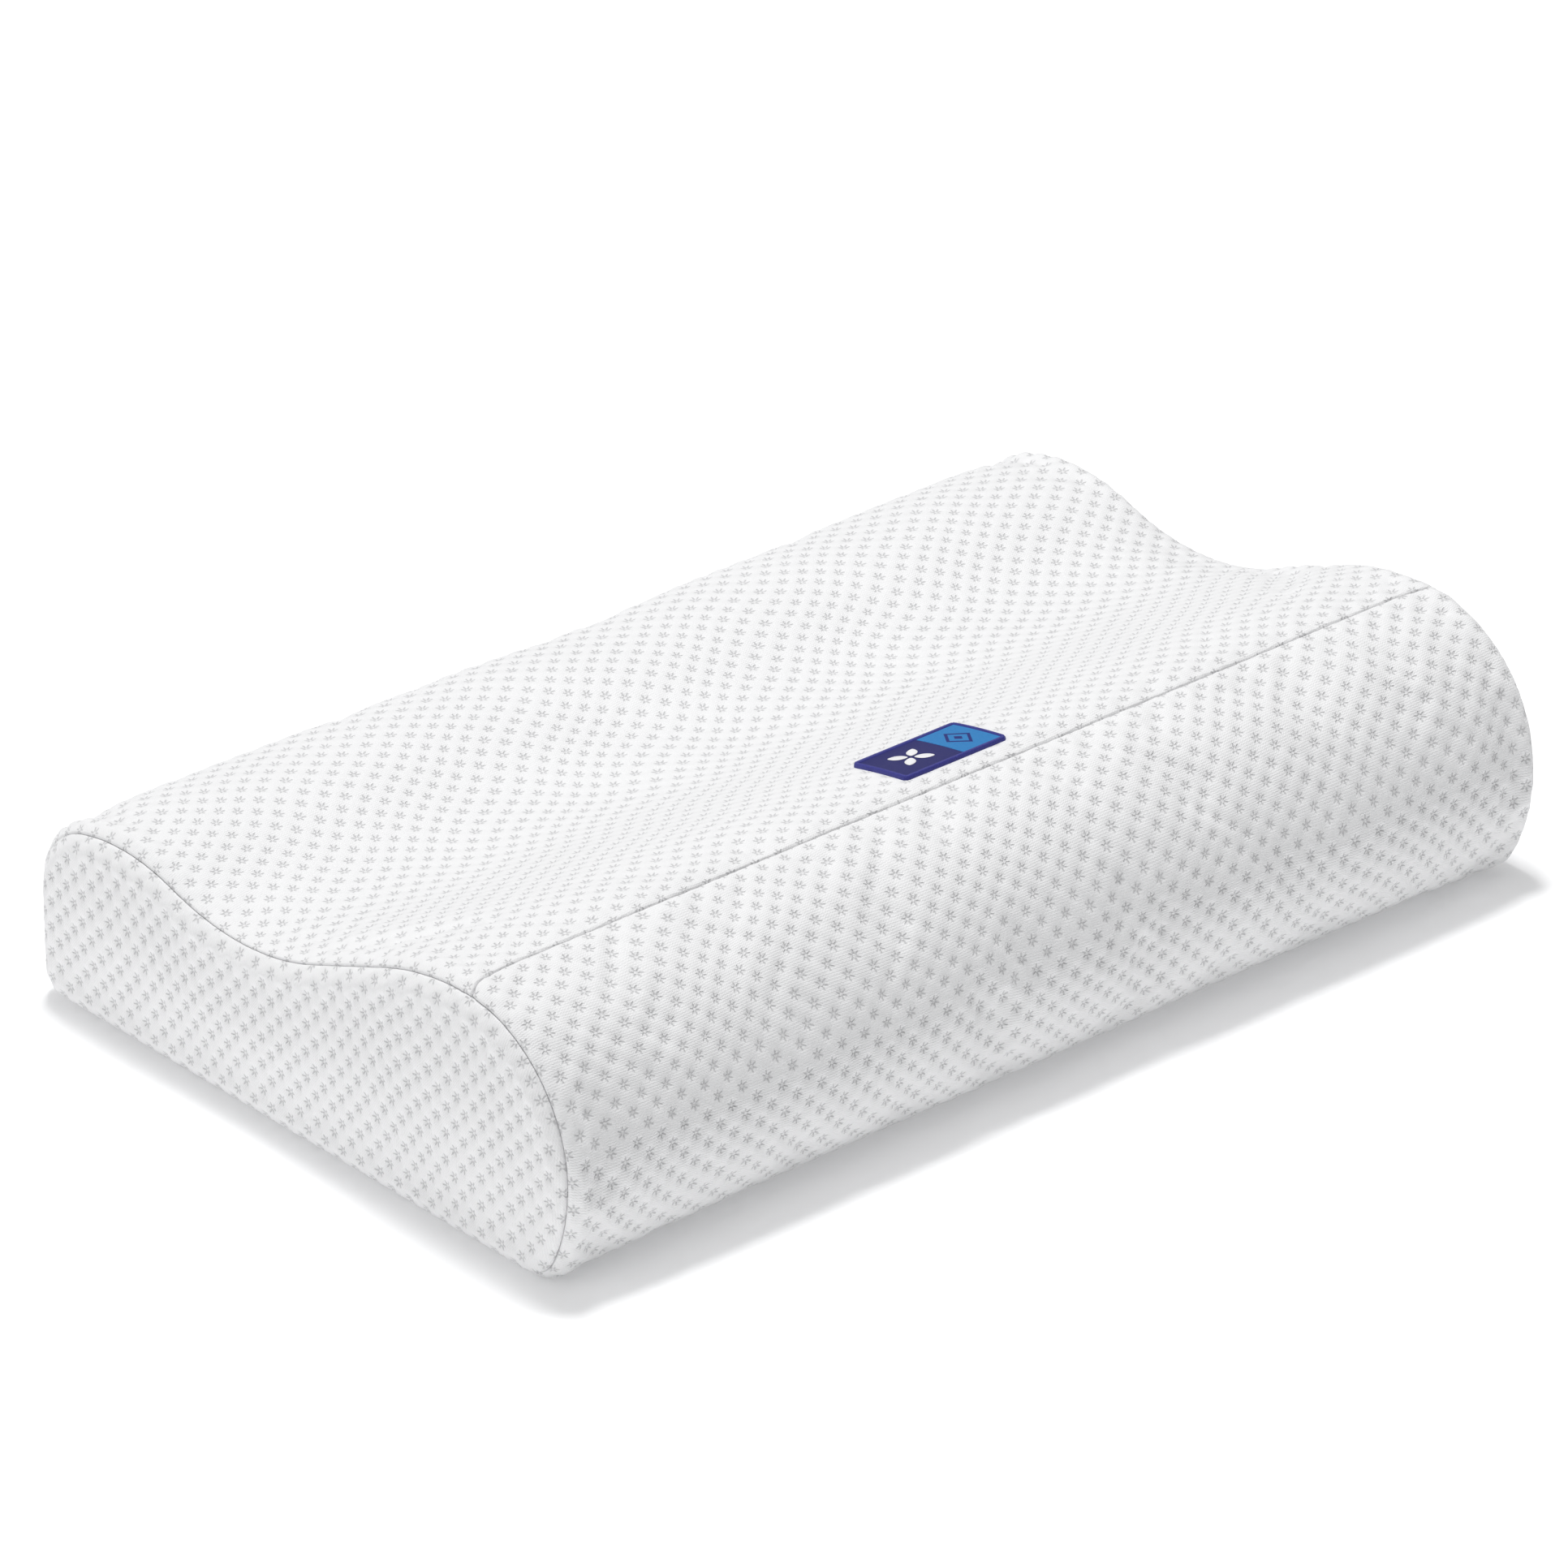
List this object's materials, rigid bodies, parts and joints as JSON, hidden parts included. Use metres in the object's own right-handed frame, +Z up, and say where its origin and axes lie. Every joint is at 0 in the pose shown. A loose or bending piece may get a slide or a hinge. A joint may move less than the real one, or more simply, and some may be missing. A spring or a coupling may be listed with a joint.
{
  "type": "contour bed pillow",
  "caption": "Contour foam bed pillow with a tall front lobe, a dip and a lower back lobe, in a zipped white quilted-knit cover with a small sewn-on patch.",
  "frame": {"origin": "middle of the footprint, on the surface the pillow lies on", "axes": "+X along the pillow's long side, -Y towards the tall lobe, +Y towards the low lobe and the zip, +Z up"},
  "size_m": [0.478, 0.305, 0.1058],
  "materials": {
    "foam": "open-cell visco foam, matt",
    "inner_knit": "thin plain white jersey",
    "cover_fabric": "white quilted double-knit jacquard with a lattice of small dimples, soft sheen",
    "thread": "white spun polyester thread",
    "seam_thread": "white thread sunk in a tight seam, seen pale grey",
    "zip_tape": "white woven zip tape",
    "zip_coil": "white moulded coil",
    "zip_metal": "white enamelled die-cast",
    "label_navy": "dark navy satin weave",
    "label_rim": "dark blue overlocked edge",
    "label_blue": "mid-blue satin weave",
    "label_white": "white satin stitch",
    "care_ribbon": "white satin ribbon, blank"
  },
  "bodies": {
    "pillow": {"foam_core": "foam", "inner_cover": "inner_knit", "inner_cover_seam": "thread", "upper_panel": "cover_fabric", "lower_panel": "cover_fabric", "left_end_panel": "cover_fabric", "right_end_panel": "cover_fabric", "crest_seam_thread": "seam_thread", "back_seam_thread": "seam_thread", "left_end_seam_thread": "seam_thread", "right_end_seam_thread": "seam_thread", "zip_tape_upper": "zip_tape", "zip_tape_lower": "zip_tape", "zip_coil_upper": "zip_coil", "zip_coil_lower": "zip_coil", "zip_top_stops": "zip_metal", "zip_bottom_stop": "zip_metal", "zip_stitching_upper": "thread", "zip_stitching_lower": "thread", "label_base": "label_navy", "label_rim": "label_rim", "label_field": "label_blue", "label_motif": "label_white", "care_label": "care_ribbon"},
    "slider": {"zip_slider": "zip_metal"},
    "pull": {"zip_pull": "zip_metal"}
  },
  "joints": [
    {"name": "zip_slide", "type": "slide", "parent": "pillow", "child": "slider", "axis": [-1, 0, 0], "range_m": [0, 0.358]},
    {"name": "pull_hinge", "type": "hinge", "parent": "slider", "child": "pull", "pos_m": [0.179, 0.151, 0.028], "axis": [0, 0, 1], "range_deg": [-170, 0]}
  ]
}
